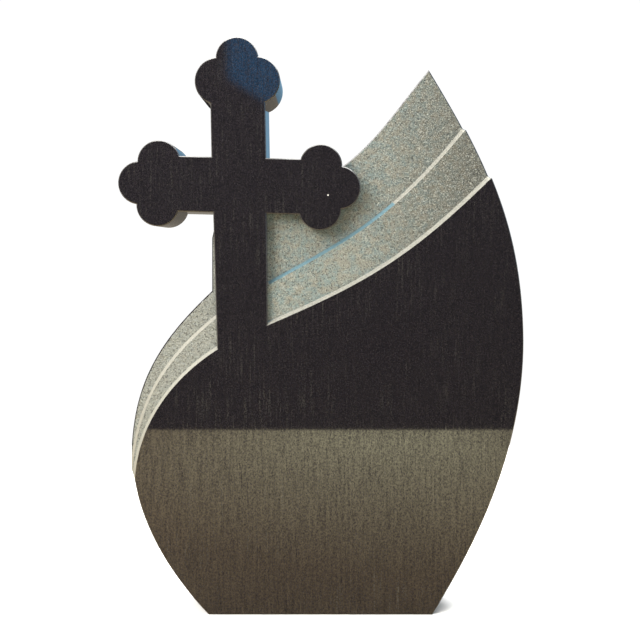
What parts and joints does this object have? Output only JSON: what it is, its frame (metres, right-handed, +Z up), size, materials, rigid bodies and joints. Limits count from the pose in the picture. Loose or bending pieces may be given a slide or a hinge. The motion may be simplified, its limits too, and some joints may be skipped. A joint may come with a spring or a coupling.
{
  "type": "headstone",
  "caption": "Upright headstone cut from one granite slab as a leaning flame, with rough terraces along its upper edge and a budded cross standing up on the left.",
  "frame": {"origin": "on the ground, midway across the overall width, in the middle of the slab's thickness", "axes": "+Z up, +X to the viewer's right, and the polished front looks along -Y"},
  "size_m": [0.8423, 0.1, 1.2],
  "materials": {
    "granite": "mirror-polished near-black granite, with two rough grey hewn terraces"
  },
  "bodies": {
    "root": {"headstone": "granite"}
  },
  "joints": []
}
